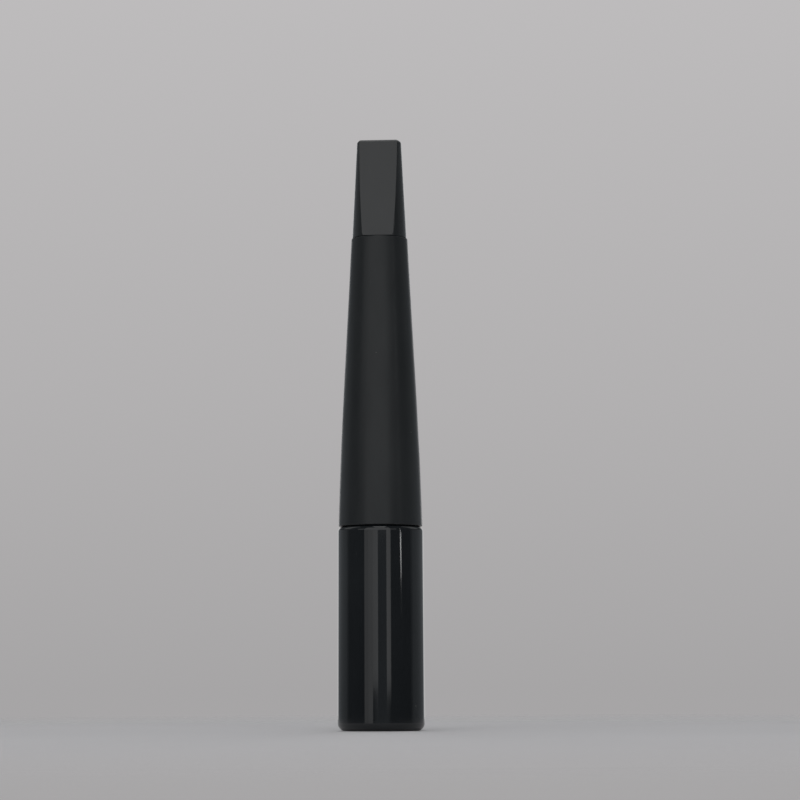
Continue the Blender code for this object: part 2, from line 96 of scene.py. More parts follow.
# Wiper
WIPER_RADIUS = 0.0030
WIPER_BORE_RADIUS = 0.0024
WIPER_FLANGE_THICKNESS = 0.0007
WIPER_FLANGE_ROUND = 0.00016
WIPER_TUBE_LENGTH = 0.0060
WIPER_ORIFICE_RADIUS = 0.00162
WIPER_LIP = 0.0004
WIPER_FUNNEL = 0.00035
WIPER_CLEAN_LENGTH = 0.0035

# Cap. A rib begins where the cosine round the cap passes its foot, and is full one flank further up
SLEEVE_BASE_RADIUS = 0.00812
SLEEVE_TOP_RADIUS = 0.00547
SLEEVE_BELLY = 0.00019
SLEEVE_BELLY_SHARE = 1 / 3
SLEEVE_WALL = 0.0012
SLEEVE_TOP_ROUND = 0.00018
SLEEVE_BASE_ROUND = 0.00016
SLEEVE_BASE_DROP = 0.00011
SPIGOT_LENGTH = 0.0080
CAP_BORE_RADIUS = 0.00525
CAP_CEILING = GASKET_HIGH.z + SEAT_GAP
SOCKET_RADIUS = 0.0016
SOCKET_DEPTH = 0.0045
RIB_HEIGHT = 0.0002
RIB_COUNT = 12
RIB_FOOT_COSINE = 0.72
RIB_FLANK_COSINE = 0.2
RIB_END_MARGIN = 0.0015

# End plug. The exponent softens its corners. Flats that lie out of reach, in radii, leave a section round
PLUG_TIP_RADIUS = 0.00433
PLUG_BASE_RADIUS = 0.00531
PLUG_TIP_ROUND = 0.00055
PLUG_BASE_HALF_THICKNESS = 0.00442
PLUG_TIP_HALF_THICKNESS = 0.00219
PLUG_LIP_DROP = 0.00008
PLUG_SEAM_HEIGHT = 0.00011
PLUG_SEAM_DEPTH = 0.00010
PLUG_WALL = 0.0010
PLUG_CORE_TOP = 0.0015
SPIGOT_CHAMFER = 0.0004
PLUG_CORNER_EXPONENT = 140
PLUG_CORNER_DEGREES = 3
PLUG_WIDEST_FLAT_SHARE = 0.99
FLATS_OUT_OF_REACH = 4
FLAT_TURN = math.radians(-4.5)

# Applicator
STEM_RADIUS = 0.0015
STEM_TIP_RADIUS = 0.0013
STEM_TAPER_SHARE = 0.5
STEM_TOP_ROUND = 0.0003
STEM_TIP_ROUND = 0.0002
COLLAR_RADIUS = 0.0022
COLLAR_THICKNESS = 0.0006
FERRULE_RADIUS = 0.0009
FERRULE_TIP_RADIUS = 0.00075
FERRULE_INSERT = 0.0030
TUFT_RADIUS = 0.0005
TUFT_INSERT = 0.0025

# Hairs. Outer ones end higher up, by a share of the brush's free length, and all draw in towards its tip
HAIR_RADIUS = 0.000030
HAIR_COUNT = 400
HAIR_POINTS = 10
HAIR_SIDES = 3
HAIR_SEED = 11
HAIR_SPIRAL_STEP = math.pi * (3 - math.sqrt(5))
HAIR_BEARING_SCATTER = 0.2
HAIR_STAGGER_SHARE = 0.42
HAIR_LEAST_STAGGER = 0.6
HAIR_END_SCATTER_SHARE = 0.01
HAIR_DRAW_SHARE = 0.90
HAIR_DRAW_EXPONENT = 1.9
HAIR_THINNING_SHARE = 0.75

# Mesh resolution. A stretch longer than LONG_STRETCH gets a ring at HOLD_DISTANCE from each end
SEGMENTS = 160
STEM_SEGMENTS = 96
SMALL_SEGMENTS = 64
SMALL_EDGE_STEPS = 3
EDGE_STEPS = 4
ROD_EDGE_STEPS = 5
SLEEVE_BASE_STEPS = 6
INNER_ROUND_STEPS = 8
SLEEVE_TOP_STEPS = 10
BOTTLE_ROUND_STEPS = 16
BALL_STEPS = 32
LABEL_RINGS = 6
WIPER_CONE_RINGS = 8
TAPER_RINGS = 10
SLEEVE_BORE_RINGS = 24
INNER_CAP_RINGS = 40
SLEEVE_FLANK_RINGS = 56
PLUG_QUARTER_STEPS = 12
PLUG_TIP_STEPS = 8
PLUG_BODY_RINGS = 30
PLUG_FACE_SHARES = (0.25, 0.5, 0.75)
HOLD_DISTANCE = 0.00003
LONG_STRETCH = 0.0004
SAME_PLACE = 1e-6
SHARP_DEGREES = 35
HAIR_SHARP_DEGREES = 80

# Rounded corners: on which side of the corner the round's centre lies, and the round's two angles
OUTER_TOP = (-1, -1, 90, 0)
OUTER_BASE = (-1, 1, 0, -90)
INNER_TOP = (1, -1, 180, 90)
INNER_BASE = (1, 1, -90, -180)

# Finishes. A noise is (scale, detail) and may have a stretch along each axis. A range is (lowest, highest)
NOISE_RANGE = (0.3, 0.7)
CLOUD_NOISE = (140, 2.0, (1, 1, 0.45))
CLOUD_RANGE = (0.35, 0.7)
SMUDGE_NOISE = (420, 4.0, (1, 1, 0.25))
SMUDGE_RANGE = (0.42, 0.68)
GRAIN_DETAIL = 2.0
GRAIN_DEPTH = 0.00002
DUST_SCALE = 1500
DUST_RANGE = (0.08, 0.16)
DUST_COLOUR = (0.16, 0.16, 0.155)
DUST_ROUGHNESS = 0.3

# Moulded plastics: the tint lies in clouds over the colour, and smudges add their gain to the roughness
BOTTLE_PLASTIC = {
    "colour": (0.0085, 0.0102, 0.0120), "tint": (0.0115, 0.0135, 0.0155), "roughness": 0.045,
    "smudge_gain": 0.012, "specular": 0.5, "grain_scale": 900, "grain_strength": 0.008, "dust_share": 0.004}
INNER_CAP_PLASTIC = {
    "colour": (0.018, 0.018, 0.019), "tint": (0.026, 0.026, 0.027), "roughness": 0.32,
    "smudge_gain": 0.06, "specular": 0.4, "grain_scale": 2600, "grain_strength": 0.15, "dust_share": 0.02}
SLEEVE_PLASTIC = {
    "colour": (0.0228, 0.0250, 0.0265), "tint": (0.0275, 0.0300, 0.0315), "roughness": 0.28,
    "smudge_gain": 0.07, "specular": 0.25, "grain_scale": 5200, "grain_strength": 0.10, "dust_share": 0.008}
PLUG_PLASTIC = {
    "colour": (0.0175, 0.0195, 0.0208), "tint": (0.0215, 0.0235, 0.0248), "roughness": 0.16,
    "smudge_gain": 0.06, "specular": 0.5, "grain_scale": 4200, "grain_strength": 0.06, "dust_share": 0.006}
STEM_PLASTIC = {
    "colour": (0.010, 0.010, 0.011), "tint": (0.016, 0.016, 0.017), "roughness": 0.10,
    "smudge_gain": 0.16, "specular": 0.5, "grain_scale": 1800, "grain_strength": 0.05, "dust_share": 0.0}
FERRULE_PLASTIC = {
    "colour": (0.020, 0.020, 0.021), "tint": (0.028, 0.028, 0.029), "roughness": 0.18,
    "smudge_gain": 0.1, "specular": 0.5, "grain_scale": 2400, "grain_strength": 0.06, "dust_share": 0.0}

# Unpigmented plastics, and the black liner that wets the wiper's lower part
VIAL_COLOUR = (0.64, 0.64, 0.60)
VIAL_ROUGHNESS = 0.28
WIPER_COLOUR = (0.72, 0.72, 0.70)
WIPER_ROUGHNESS = 0.30
FLOW_NOISE = (260, 3.0, (1, 1, 0.3))
FLOW_SHADE = 0.88
FLOW_ROUGHNESS = 0.12
FLOW_STRENGTH = 0.08
FLOW_DEPTH = 0.00003
SUBSURFACE_WEIGHT = 0.35
SUBSURFACE_RADIUS = (0.0012, 0.0012, 0.0011)
SUBSURFACE_SCALE = 1.0
STAIN_COLOUR = (0.006, 0.006, 0.007)
STAIN_NOISE = (900, 2.0)
STAIN_WAVE = 0.0010

# Foam, steel, label film and hair. Colours come in pairs that their pattern blends between
FOAM_SCALE = 6500
FOAM_COLOURS = ((0.70, 0.69, 0.66), (0.52, 0.51, 0.48))
FOAM_CELL_RANGE = (0.0, 0.6)
FOAM_ROUGHNESS = (0.75, 0.9)
FOAM_STRENGTH = 0.4
FOAM_DEPTH = 0.00004
STEEL_NOISE = (2200, 4.0)
STEEL_COLOURS = ((0.50, 0.50, 0.51), (0.62, 0.62, 0.63))
STEEL_ROUGHNESS = (0.10, 0.24)
FIBRE_NOISE = (3800, 5.0, (1, 0.35, 1))
FILM_NOISE = (500, 2.0)
FILM_RANGE = (0.1, 0.5)
FILM_COLOURS = ((0.60, 0.59, 0.57), (0.50, 0.49, 0.47))
FILM_ROUGHNESS = (0.42, 0.58)
FILM_STRENGTH = 0.15
FILM_DEPTH = 0.00002
HAIR_NOISE = (5200, 2.0, (1, 1, 0.04))
HAIR_COLOURS = ((0.006, 0.006, 0.006), (0.030, 0.028, 0.027))
HAIR_ROUGHNESS = (0.25, 0.45)

# Camera, from the photograph: the picture's scale at the object and the object's place in the picture
PHOTO_WIDTH = 800
PIXELS_PER_METRE = 5137
PHOTO_BASE_ROW = 729.0
PHOTO_AXIS_COLUMN = 380.05
CAMERA_DISTANCE = 0.6
CAMERA_HEIGHT = 0.008
CAMERA_ROLL = math.radians(0.25)
CAMERA_CLIP_START = 0.01
SENSOR_WIDTH_MM = 36

# Studio: each lamp is (name, azimuth from and to, elevation from and to, both in degrees, brightness)
LAMP_DISTANCE = 1.35
LAMPS = (
    ("softbox_left_outer", -44, -33, -2, 8, 0.56),
    ("softbox_left_middle", -33, -21, -2, 8, 0.67),
    ("softbox_left_inner", -21, -7.2, 0.75, 8, 0.78),
    ("softbox_left_high", -44, -7.2, 8, 50, 0.92),
    ("softbox_left_upper", -64, -44, 12.5, 24, 0.85),
    ("softbox_left_side", -126, -93, 22, 60, 0.45),
    ("softbox_above_camera", -7.2, 15.6, 5.2, 50, 0.92),
    ("softbox_right_low", 15.6, 27, 0.65, 8, 0.84),
    ("softbox_right_high", 15.6, 27, 8, 50, 0.92),
    ("softbox_right_upper", 27, 44, 13, 24, 0.8),
    ("softbox_right_side", 97, 130, 22, 60, 0.42),
    ("slit_right_top", 54, 57.4, 4.42, 4.79, 8.0),
    ("slit_right_middle", 54.6, 57.9, 4.05, 4.42, 5.4),
    ("slit_right_low", 55.1, 58.3, 3.66, 4.05, 3.9),
    ("glint_right", 54.5, 56.5, 10, 26, 3.0),
    ("softbox_rear_left", -172, -158, -2, 50, 0.6),
    ("softbox_rear_right", 155, 172, -2, 50, 0.6),
)
TOP_LIGHT_PLACE = (-0.03, -0.1, 1.25)
TOP_LIGHT_SIZE = (0.5, 1.6)
TOP_LIGHT_WATTS = 3.4

# World: what the camera sees of the backdrop, from the horizon up, and what the object sees of the room.
# Heights are sines above the horizon, and fades to the front, rear and backdrop are cosines
BACKDROP_TINT = (1.0, 0.978, 0.988)
# The backdrop levels paint shade onto the backdrop: darker at the horizon and paler higher up
BACKDROP_LEVELS = ((0.0, 0.385), (0.42, 0.445), (1.0, 0.51))
BACKDROP_TOP = 0.22
BACKDROP_AZIMUTH = 180
BACKDROP_FADE = (0.92, 0.96)
ROOM_TINT = (0.93, 1.0, 1.06)
ROOM_SIDE_LEVELS = (0.055, 0.105)
ROOM_REAR_LEVELS = (0.22, 0.28)
ROOM_FRONT_LEVEL = 0.19
ROOM_TOP_LEVEL = 0.12
HORIZON_FADE = 0.04
TOP_FADE = (0.19, 0.22)
FRONT_AZIMUTH = 3
FRONT_FADE = (0.92, 0.98)
REAR_AZIMUTH = 176
REAR_FADE = (0.0, 0.2)

# Floor
FLOOR_RADIUS = 0.42
FLOOR_SEGMENTS = 96
FLOOR_FADE_START = 0.10
FLOOR_FADE_END_SHARE = 0.97
FLOOR_ALBEDO = 0.80
FLOOR_ROUGHNESS = 0.9
FLOOR_SPECULAR = 0.1


# Shapes

def between(start, end, share):
    """The value that lies a share of the way from start to end."""
    return start + (end - start) * share


def smooth(share):
    """A share from 0 to 1 that starts and ends softly."""
    share = min(1.0, max(0.0, share))
    return share * share * (3 - 2 * share)


def arc(centre_radius, centre_height, size, start_degrees, end_degrees, steps):
    """Points of an arc in a profile, with both its ends."""
    points = []
    for step in range(steps + 1):
        angle = math.radians(between(start_degrees, end_degrees, step / steps))
        points.append((centre_radius + size * math.cos(angle), centre_height + size * math.sin(angle)))
    return points


def rounded(radius, height, size, corner, steps=EDGE_STEPS):
    """A quarter round in place of the profile's corner at a radius and a height."""
    outwards, upwards, start_degrees, end_degrees = corner
    return arc(radius + outwards * size, height + upwards * size, size, start_degrees, end_degrees, steps)


def line(start, end, steps):
    """Points from start to end, without the first one."""
    shares = [step / steps for step in range(1, steps + 1)]
    return [(between(start[0], end[0], share), between(start[1], end[1], share)) for share in shares]


def held(profile):
    """The profile with extra points near the ends of its long stretches, so that they are shaded flat."""
    points = [profile[0]]
    for start, end in zip(profile, profile[1:]):
        length = math.dist(start, end)
        if length > LONG_STRETCH:
            for share in (HOLD_DISTANCE / length, 1 - HOLD_DISTANCE / length):
                points.append(tuple(between(a, b, share) for a, b in zip(start, end)))
        points.append(end)
    return points


def new_piece(name, vertices, faces, material, sharp_degrees=SHARP_DEGREES):
    """A smooth mesh object, creased where its faces meet at more than the sharp angle."""
    mesh = bpy.data.meshes.new(name)
    mesh.from_pydata(vertices, [], faces)
    mesh.update()
    mesh.shade_smooth()
    mesh.set_sharp_from_angle(angle=math.radians(sharp_degrees))
    mesh.materials.append(material)
    piece = bpy.data.objects.new(name, mesh)
    bpy.context.scene.collection.objects.link(piece)
    return piece


def ring_faces(rings, closed=False):
    """Faces between neighbouring rings, wound so that they look outwards."""
    pairs = list(zip(rings, rings[1:]))
    if closed:
        pairs.append((rings[-1], rings[0]))
    faces = []
    for upper, lower in pairs:
        count = max(len(upper), len(lower))
        for step in range(count):
            after = (step + 1) % count
            corners = [
                upper[step % len(upper)], lower[step % len(lower)],
                lower[after % len(lower)], upper[after % len(upper)]]
            face = list(dict.fromkeys(corners))
            if len(face) > 2:
                faces.append(face)
    return faces


def turned(name, profile, material, closed=False, relief=None, segments=SEGMENTS):
    """A piece turned about the axis, whose profile runs down its outer side.

    relief(angle, height, radius) adds to the radius.
    """
    vertices = []
    rings = []
    for radius, height in held(profile):
        if radius < SAME_PLACE:
            rings.append([len(vertices)])
            vertices.append((0.0, 0.0, height))
            continue
        rings.append(range(len(vertices), len(vertices) + segments))
        for step in range(segments):
            angle = 2 * math.pi * step / segments
            reach = radius + (relief(angle, height, radius) if relief else 0.0)
            vertices.append((reach * math.cos(angle), reach * math.sin(angle), height))
    return new_piece(name, vertices, ring_faces(rings, closed), material)


def place(piece, body, slot, *nodes):
    """Puts a piece on its CAD body, in place of its CAD nodes."""
    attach(piece, body)
    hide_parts(*nodes)


def thread_lift(angle, height):
    """How far the thread stands out, from 0 to 1, at a place on the neck or in the cap's bore."""
    start = BOTTLE_HIGH.z + THREAD_START
    lift = 0.0
    turn = angle / (2 * math.pi)
    while turn < THREAD_TURNS:
        distance = abs(height - (start + turn * THREAD_LEAD))
        flank = (THREAD_ROOT_HALF_WIDTH - distance) / (THREAD_ROOT_HALF_WIDTH - THREAD_CREST_HALF_WIDTH)
        ramp = min(1.0, turn / THREAD_RAMP_TURNS, (THREAD_TURNS - turn) / THREAD_RAMP_TURNS)
        lift = max(lift, smooth(flank) * smooth(ramp))
        turn += 1.0
    return lift


def sleeve_flank(height):
    """Outer radius of the sleeve at a height above its base: a taper with a belly in its lower part."""
    share = height / (SLEEVE_HIGH.z - SLEEVE_LOW.z)
    belly = share * (1 - share) ** 2
    full_belly = SLEEVE_BELLY_SHARE * (1 - SLEEVE_BELLY_SHARE) ** 2
    return between(SLEEVE_BASE_RADIUS, SLEEVE_TOP_RADIUS, share) + SLEEVE_BELLY * belly / full_belly


# Materials

class Graph:
    """The nodes of a material or of the world, with short ways to add the ones used here."""

    def __init__(self, owner):
        owner.use_nodes = True
        self.nodes = owner.node_tree.nodes
        self.links = owner.node_tree.links

    def feed(self, node, inputs):
        """Sets each input of a node to a value, or links it to another node's output."""
        for name, value in inputs.items():
            socket = node.inputs[name]
            if isinstance(value, bpy.types.NodeSocket):
                self.links.new(value, socket)
            elif socket.type == "RGBA":
                socket.default_value = (*value, 1)
            else:
                socket.default_value = value

    def add(self, kind, inputs, **settings):
        """A new node of a kind, with its settings made before its inputs are fed."""
        node = self.nodes.new("ShaderNode" + kind)
        for name, value in settings.items():
            setattr(node, name, value)
        self.feed(node, inputs)
        return node

    def coordinates(self):
        """Places on the object, in metres."""
        return self.add("TexCoord", {}).outputs["Object"]

    def noise(self, where, scale, detail, stretch=(1, 1, 1)):
        """A soft random pattern from 0 to 1. A small stretch value draws it out along that axis."""
        stretched = self.add("Mapping", {"Vector": where, "Scale": stretch}).outputs["Vector"]
        return self.add("TexNoise", {"Vector": stretched, "Scale": scale, "Detail": detail}).outputs["Fac"]

    def remap(self, value, low_in, high_in, low_out=0.0, high_out=1.0, interpolation="LINEAR"):
        """A value carried over from one range to another, and kept within it."""
        inputs = {
            "Value": value, "From Min": low_in, "From Max": high_in, "To Min": low_out, "To Max": high_out}
        return self.add("MapRange", inputs, interpolation_type=interpolation).outputs["Result"]

    def combine(self, operation, first, second):
        """The sum, product, larger value or comparison of two values, kept between 0 and 1."""
        node = self.add("Math", {0: first, 1: second}, operation=operation, use_clamp=True)
        return node.outputs["Value"]

    def mix_numbers(self, share, first, second):
        node = self.add("Mix", {"Factor": share, "A": first, "B": second})
        return node.outputs["Result"]

    def mix_colours(self, share, first, second):
        node = self.add("Mix", {"Factor": share, "A": first, "B": second}, data_type="RGBA")
        return node.outputs["Result"]

    def bump(self, height, strength, depth, invert=False):
        node = self.add("Bump", {"Height": height, "Strength": strength, "Distance": depth}, invert=invert)
        return node.outputs["Normal"]


def new_material(name):
    """A material, its graph and its shader."""
    material = bpy.data.materials.new(name)
    graph = Graph(material)
    return material, graph, graph.nodes["Principled BSDF"]


def dust_specks(graph, where, dust_share):
    """Sparse round specks: cells of a Voronoi pattern, of which only a few keep their centre dot."""
    cells = graph.add("TexVoronoi", {"Vector": where, "Scale": DUST_SCALE})
    dots = graph.remap(cells.outputs["Distance"], *DUST_RANGE, 1.0, 0.0)
    chance = graph.add("SeparateColor", {"Color": cells.outputs["Color"]}).outputs["Red"]
    return graph.combine("MULTIPLY", dots, graph.combine("GREATER_THAN", chance, 1.0 - dust_share))


def moulded_plastic(
        name, colour, tint, roughness, smudge_gain, specular, grain_scale, grain_strength, dust_share):
    """Moulded plastic: fine grain in its bump, soft smudges in its roughness, and a little dust."""
    material, graph, shader = new_material(name)
    where = graph.coordinates()
    dust = dust_specks(graph, where, dust_share)
    clouds = graph.remap(graph.noise(where, *CLOUD_NOISE), *CLOUD_RANGE)
    handling = graph.noise(where, *SMUDGE_NOISE)
    smudges = graph.remap(handling, *SMUDGE_RANGE, roughness, roughness + smudge_gain)
    grain = graph.noise(where, grain_scale, GRAIN_DETAIL)
    graph.feed(shader, {
        "Specular IOR Level": specular,
        "Base Color": graph.mix_colours(dust, graph.mix_colours(clouds, colour, tint), DUST_COLOUR),
        "Roughness": graph.combine("ADD", smudges, graph.combine("MULTIPLY", dust, DUST_ROUGHNESS)),
        "Normal": graph.bump(grain, grain_strength, GRAIN_DEPTH)})
    return material


def wet_part(graph, where, wet_height):
    """1 below a height, where the liner reaches, and 0 above it, with a wavy edge between."""
    height = graph.add("SeparateXYZ", {"Vector": where}).outputs["Z"]
    wave = graph.noise(where, *STAIN_NOISE)
    wavy = graph.add("Math", {0: wave, 1: STAIN_WAVE, 2: height}, operation="MULTIPLY_ADD").outputs["Value"]
    return graph.remap(wavy, wet_height, wet_height + STAIN_WAVE, 1.0, 0.0)


def natural_plastic(name, colour, roughness, wet_height=None):
    """Unpigmented plastic, which lets a little light in, with faint flow marks. It may be wet low down."""
    material, graph, shader = new_material(name)
    where = graph.coordinates()
    flow = graph.noise(where, *FLOW_NOISE)
    surface = graph.mix_colours(flow, tuple(value * FLOW_SHADE for value in colour), colour)
    if wet_height is not None:
        surface = graph.mix_colours(wet_part(graph, where, wet_height), surface, STAIN_COLOUR)
    graph.feed(shader, {
        "Base Color": surface,
        "Roughness": graph.remap(flow, *NOISE_RANGE, roughness, roughness + FLOW_ROUGHNESS),
        "Subsurface Weight": SUBSURFACE_WEIGHT,
        "Subsurface Radius": SUBSURFACE_RADIUS,
        "Subsurface Scale": SUBSURFACE_SCALE,
        "Normal": graph.bump(flow, FLOW_STRENGTH, FLOW_DEPTH)})
    return material


def gasket_foam(name):
    """Closed-cell foam: paler and smoother in the middle of its cells."""
    material, graph, shader = new_material(name)
    pattern = graph.add("TexVoronoi", {"Vector": graph.coordinates(), "Scale": FOAM_SCALE})
    cells = pattern.outputs["Distance"]
    graph.feed(shader, {
        "Base Color": graph.mix_colours(cells, *FOAM_COLOURS),
        "Roughness": graph.remap(cells, *FOAM_CELL_RANGE, *FOAM_ROUGHNESS),
        "Normal": graph.bump(cells, FOAM_STRENGTH, FOAM_DEPTH, invert=True)})
    return material


def polished_steel(name):
    """Polished steel with faint wear in its colour and its gloss."""
    material, graph, shader = new_material(name)
    wear = graph.noise(graph.coordinates(), *STEEL_NOISE)
    graph.feed(shader, {
        "Metallic": 1.0,
        "Base Color": graph.mix_colours(wear, *STEEL_COLOURS),
        "Roughness": graph.remap(wear, *NOISE_RANGE, *STEEL_ROUGHNESS)})
    return material


def label_film(name):
    """Matt label film with fine fibres and soft clouds."""
    material, graph, shader = new_material(name)
    where = graph.coordinates()
    fibres = graph.noise(where, *FIBRE_NOISE)
    shade = graph.combine("MULTIPLY", fibres, graph.noise(where, *FILM_NOISE))
    graph.feed(shader, {
        "Base Color": graph.mix_colours(graph.remap(shade, *FILM_RANGE), *FILM_COLOURS),
        "Roughness": graph.remap(fibres, *NOISE_RANGE, *FILM_ROUGHNESS),
        "Normal": graph.bump(fibres, FILM_STRENGTH, FILM_DEPTH)})
    return material


def brush_hair(name):
    """Black hair that differs a little from strand to strand."""
    material, graph, shader = new_material(name)
    strands = graph.noise(graph.coordinates(), *HAIR_NOISE)
    graph.feed(shader, {
        "Base Color": graph.mix_colours(strands, *HAIR_COLOURS),
        "Roughness": graph.remap(strands, *NOISE_RANGE, *HAIR_ROUGHNESS)})
    return material


# Pieces of the bottle

def make_bottle():
    """The thick shell: a rounded shoulder, a mouth for the vial and a recess for the label underneath."""
    height = BOTTLE_HIGH.z
    floor_top = RECESS_DEPTH + BOTTLE_FLOOR
    ledge = height - VIAL_FLANGE_THICKNESS - SEAT_GAP
    mouth = VIAL_HIGH.x + FIT_GAP
    recess = LABEL_HIGH.x + LABEL_MARGIN
    profile = [(0.0, floor_top), (BOTTLE_BORE_RADIUS, floor_top)]
    profile += [(BOTTLE_BORE_RADIUS, ledge), (mouth, ledge)]
    profile += rounded(mouth, height, EDGE_ROUND, INNER_TOP)
    profile += rounded(BOTTLE_TOP_RADIUS, height, SHOULDER_FILLET, OUTER_TOP, BOTTLE_ROUND_STEPS)
    profile += rounded(BOTTLE_HIGH.x, 0.0, BASE_FILLET, OUTER_BASE, BOTTLE_ROUND_STEPS)
    profile += rounded(recess, 0.0, EDGE_ROUND, INNER_BASE)
    profile += [(recess, RECESS_DEPTH), (0.0, RECESS_DEPTH)]
    piece = turned("bottle_shell", profile, moulded_plastic("bottle_gloss_black", **BOTTLE_PLASTIC))
    place(piece, "bottle", "bottle_gloss_black", "outer_bottle")


def make_label():
    """The bare label: a thin disc with soft edges."""
    radius = LABEL_HIGH.x
    low, high = LABEL_LOW.z, LABEL_HIGH.z
    soft = (high - low) * LABEL_EDGE_SHARE
    profile = [(0.0, high)] + line((0.0, high), (radius - soft, high), LABEL_RINGS)[:-1]
    profile += rounded(radius, high, soft, OUTER_TOP) + rounded(radius, low, soft, OUTER_BASE)
    profile.append((0.0, low))
    piece = turned("base_label_film", profile, label_film("label_film"))
    place(piece, "bottle", "label_film", "base_label")


def make_vial():
    """The vial: chamber, sloping shoulder, threaded neck and the flange that sits in the bottle's mouth."""
    flange_top = BOTTLE_HIGH.z
    flange_radius = VIAL_HIGH.x
    flange_base = flange_top - VIAL_FLANGE_THICKNESS
    floor = VIAL_LOW.z + VIAL_FLOOR
    neck_top = VIAL_HIGH.z
    cone_base = flange_top - CHAMBER_SHOULDER_HEIGHT
    rows = round((neck_top - flange_top) / THREAD_ROW_HEIGHT)
    profile = [(0.0, floor)]
    profile += rounded(CHAMBER_RADIUS, floor, CHAMBER_FILLET, OUTER_BASE, INNER_ROUND_STEPS)[::-1]
    profile += [(CHAMBER_RADIUS, cone_base), (NECK_BORE_RADIUS, flange_top)]
    profile += rounded(NECK_BORE_RADIUS, neck_top, EDGE_ROUND, INNER_TOP)
    profile += rounded(NECK_RADIUS, neck_top, NECK_ROUND, OUTER_TOP, ROD_EDGE_STEPS)
    profile += line(profile[-1], (NECK_RADIUS, flange_top + EDGE_ROUND), rows)[:-1]
    profile += rounded(NECK_RADIUS, flange_top, EDGE_ROUND, INNER_BASE)[::-1]
    profile += rounded(flange_radius, flange_top, EDGE_ROUND, OUTER_TOP)
    profile += [(flange_radius, flange_base), (VIAL_RADIUS, flange_base)]
    profile += rounded(VIAL_RADIUS, VIAL_LOW.z, VIAL_FILLET, OUTER_BASE, INNER_ROUND_STEPS)
    profile.append((0.0, VIAL_LOW.z))

    def neck_relief(angle, height, radius):
        on_neck = abs(radius - NECK_RADIUS) < SAME_PLACE
        return THREAD_DEPTH * thread_lift(angle, height) if on_neck else 0.0

    finish = natural_plastic("vial_natural_plastic", VIAL_COLOUR, VIAL_ROUGHNESS)
    piece = turned("vial_body", profile, finish, relief=neck_relief)
    place(piece, "bottle", "vial_natural_plastic", "inner_vial")


def make_wiper():
    """The wiper: a flanged tube that narrows to an orifice with a thin lip."""
    top = WIPER_HIGH.z
    seat = top - WIPER_FLANGE_THICKNESS
    tube_end = seat - WIPER_TUBE_LENGTH
    tip = WIPER_LOW.z
    flange_radius = WIPER_HIGH.x
    lip_radius = WIPER_ORIFICE_RADIUS + WIPER_LIP
    profile = [(WIPER_BORE_RADIUS, tube_end), (WIPER_BORE_RADIUS, top - WIPER_FUNNEL)]
    profile += rounded(WIPER_BORE_RADIUS, top, WIPER_FUNNEL, INNER_TOP, INNER_ROUND_STEPS)[1:]
    profile += rounded(flange_radius, top, WIPER_FLANGE_ROUND, OUTER_TOP)
    profile += rounded(flange_radius, seat, EDGE_ROUND, OUTER_BASE, SMALL_EDGE_STEPS)
    profile += [(WIPER_RADIUS, seat), (WIPER_RADIUS, tube_end), (lip_radius, tip + EDGE_ROUND)]
    profile += [(lip_radius - EDGE_ROUND, tip), (WIPER_ORIFICE_RADIUS, tip)]
    profile += line(profile[-1], (WIPER_BORE_RADIUS, tube_end), WIPER_CONE_RINGS)[:-1]
    wet_height = seat - WIPER_CLEAN_LENGTH
    finish = natural_plastic("wiper_soft_plastic", WIPER_COLOUR, WIPER_ROUGHNESS, wet_height)
    piece = turned("wiper_insert", profile, finish, closed=True)
    place(piece, "bottle", "wiper_soft_plastic", "neck_wiper")


def make_ball():
    """The loose mixing ball."""
    centre = (BALL_LOW + BALL_HIGH) / 2
    radius = (BALL_HIGH.z - BALL_LOW.z) / 2
    profile = [(0.0, radius)] + arc(0.0, 0.0, radius, 90, -90, BALL_STEPS)[1:-1] + [(0.0, -radius)]
    piece = turned("mixing_ball", profile, polished_steel("ball_steel"), segments=SMALL_SEGMENTS)
    piece.data.transform(Matrix.Translation(centre))
    place(piece, "ball", "ball_steel", "agitator_ball")


# Pieces of the cap

def make_gasket():
    """A flat ring round the stem's collar, with soft edges."""
    inner = COLLAR_RADIUS + SEAT_GAP
    outer = GASKET_HIGH.x
    low, high = GASKET_LOW.z, GASKET_HIGH.z
    profile = []
    for radius, height, corner in (
            (inner, high, INNER_TOP), (outer, high, OUTER_TOP),
            (outer, low, OUTER_BASE), (inner, low, INNER_BASE)):
        profile += rounded(radius, height, EDGE_ROUND, corner, SMALL_EDGE_STEPS)
    piece = turned("gasket_ring", profile, gasket_foam("gasket_foam"), closed=True)
    place(piece, "gasket", "gasket_foam", "cap_gasket")


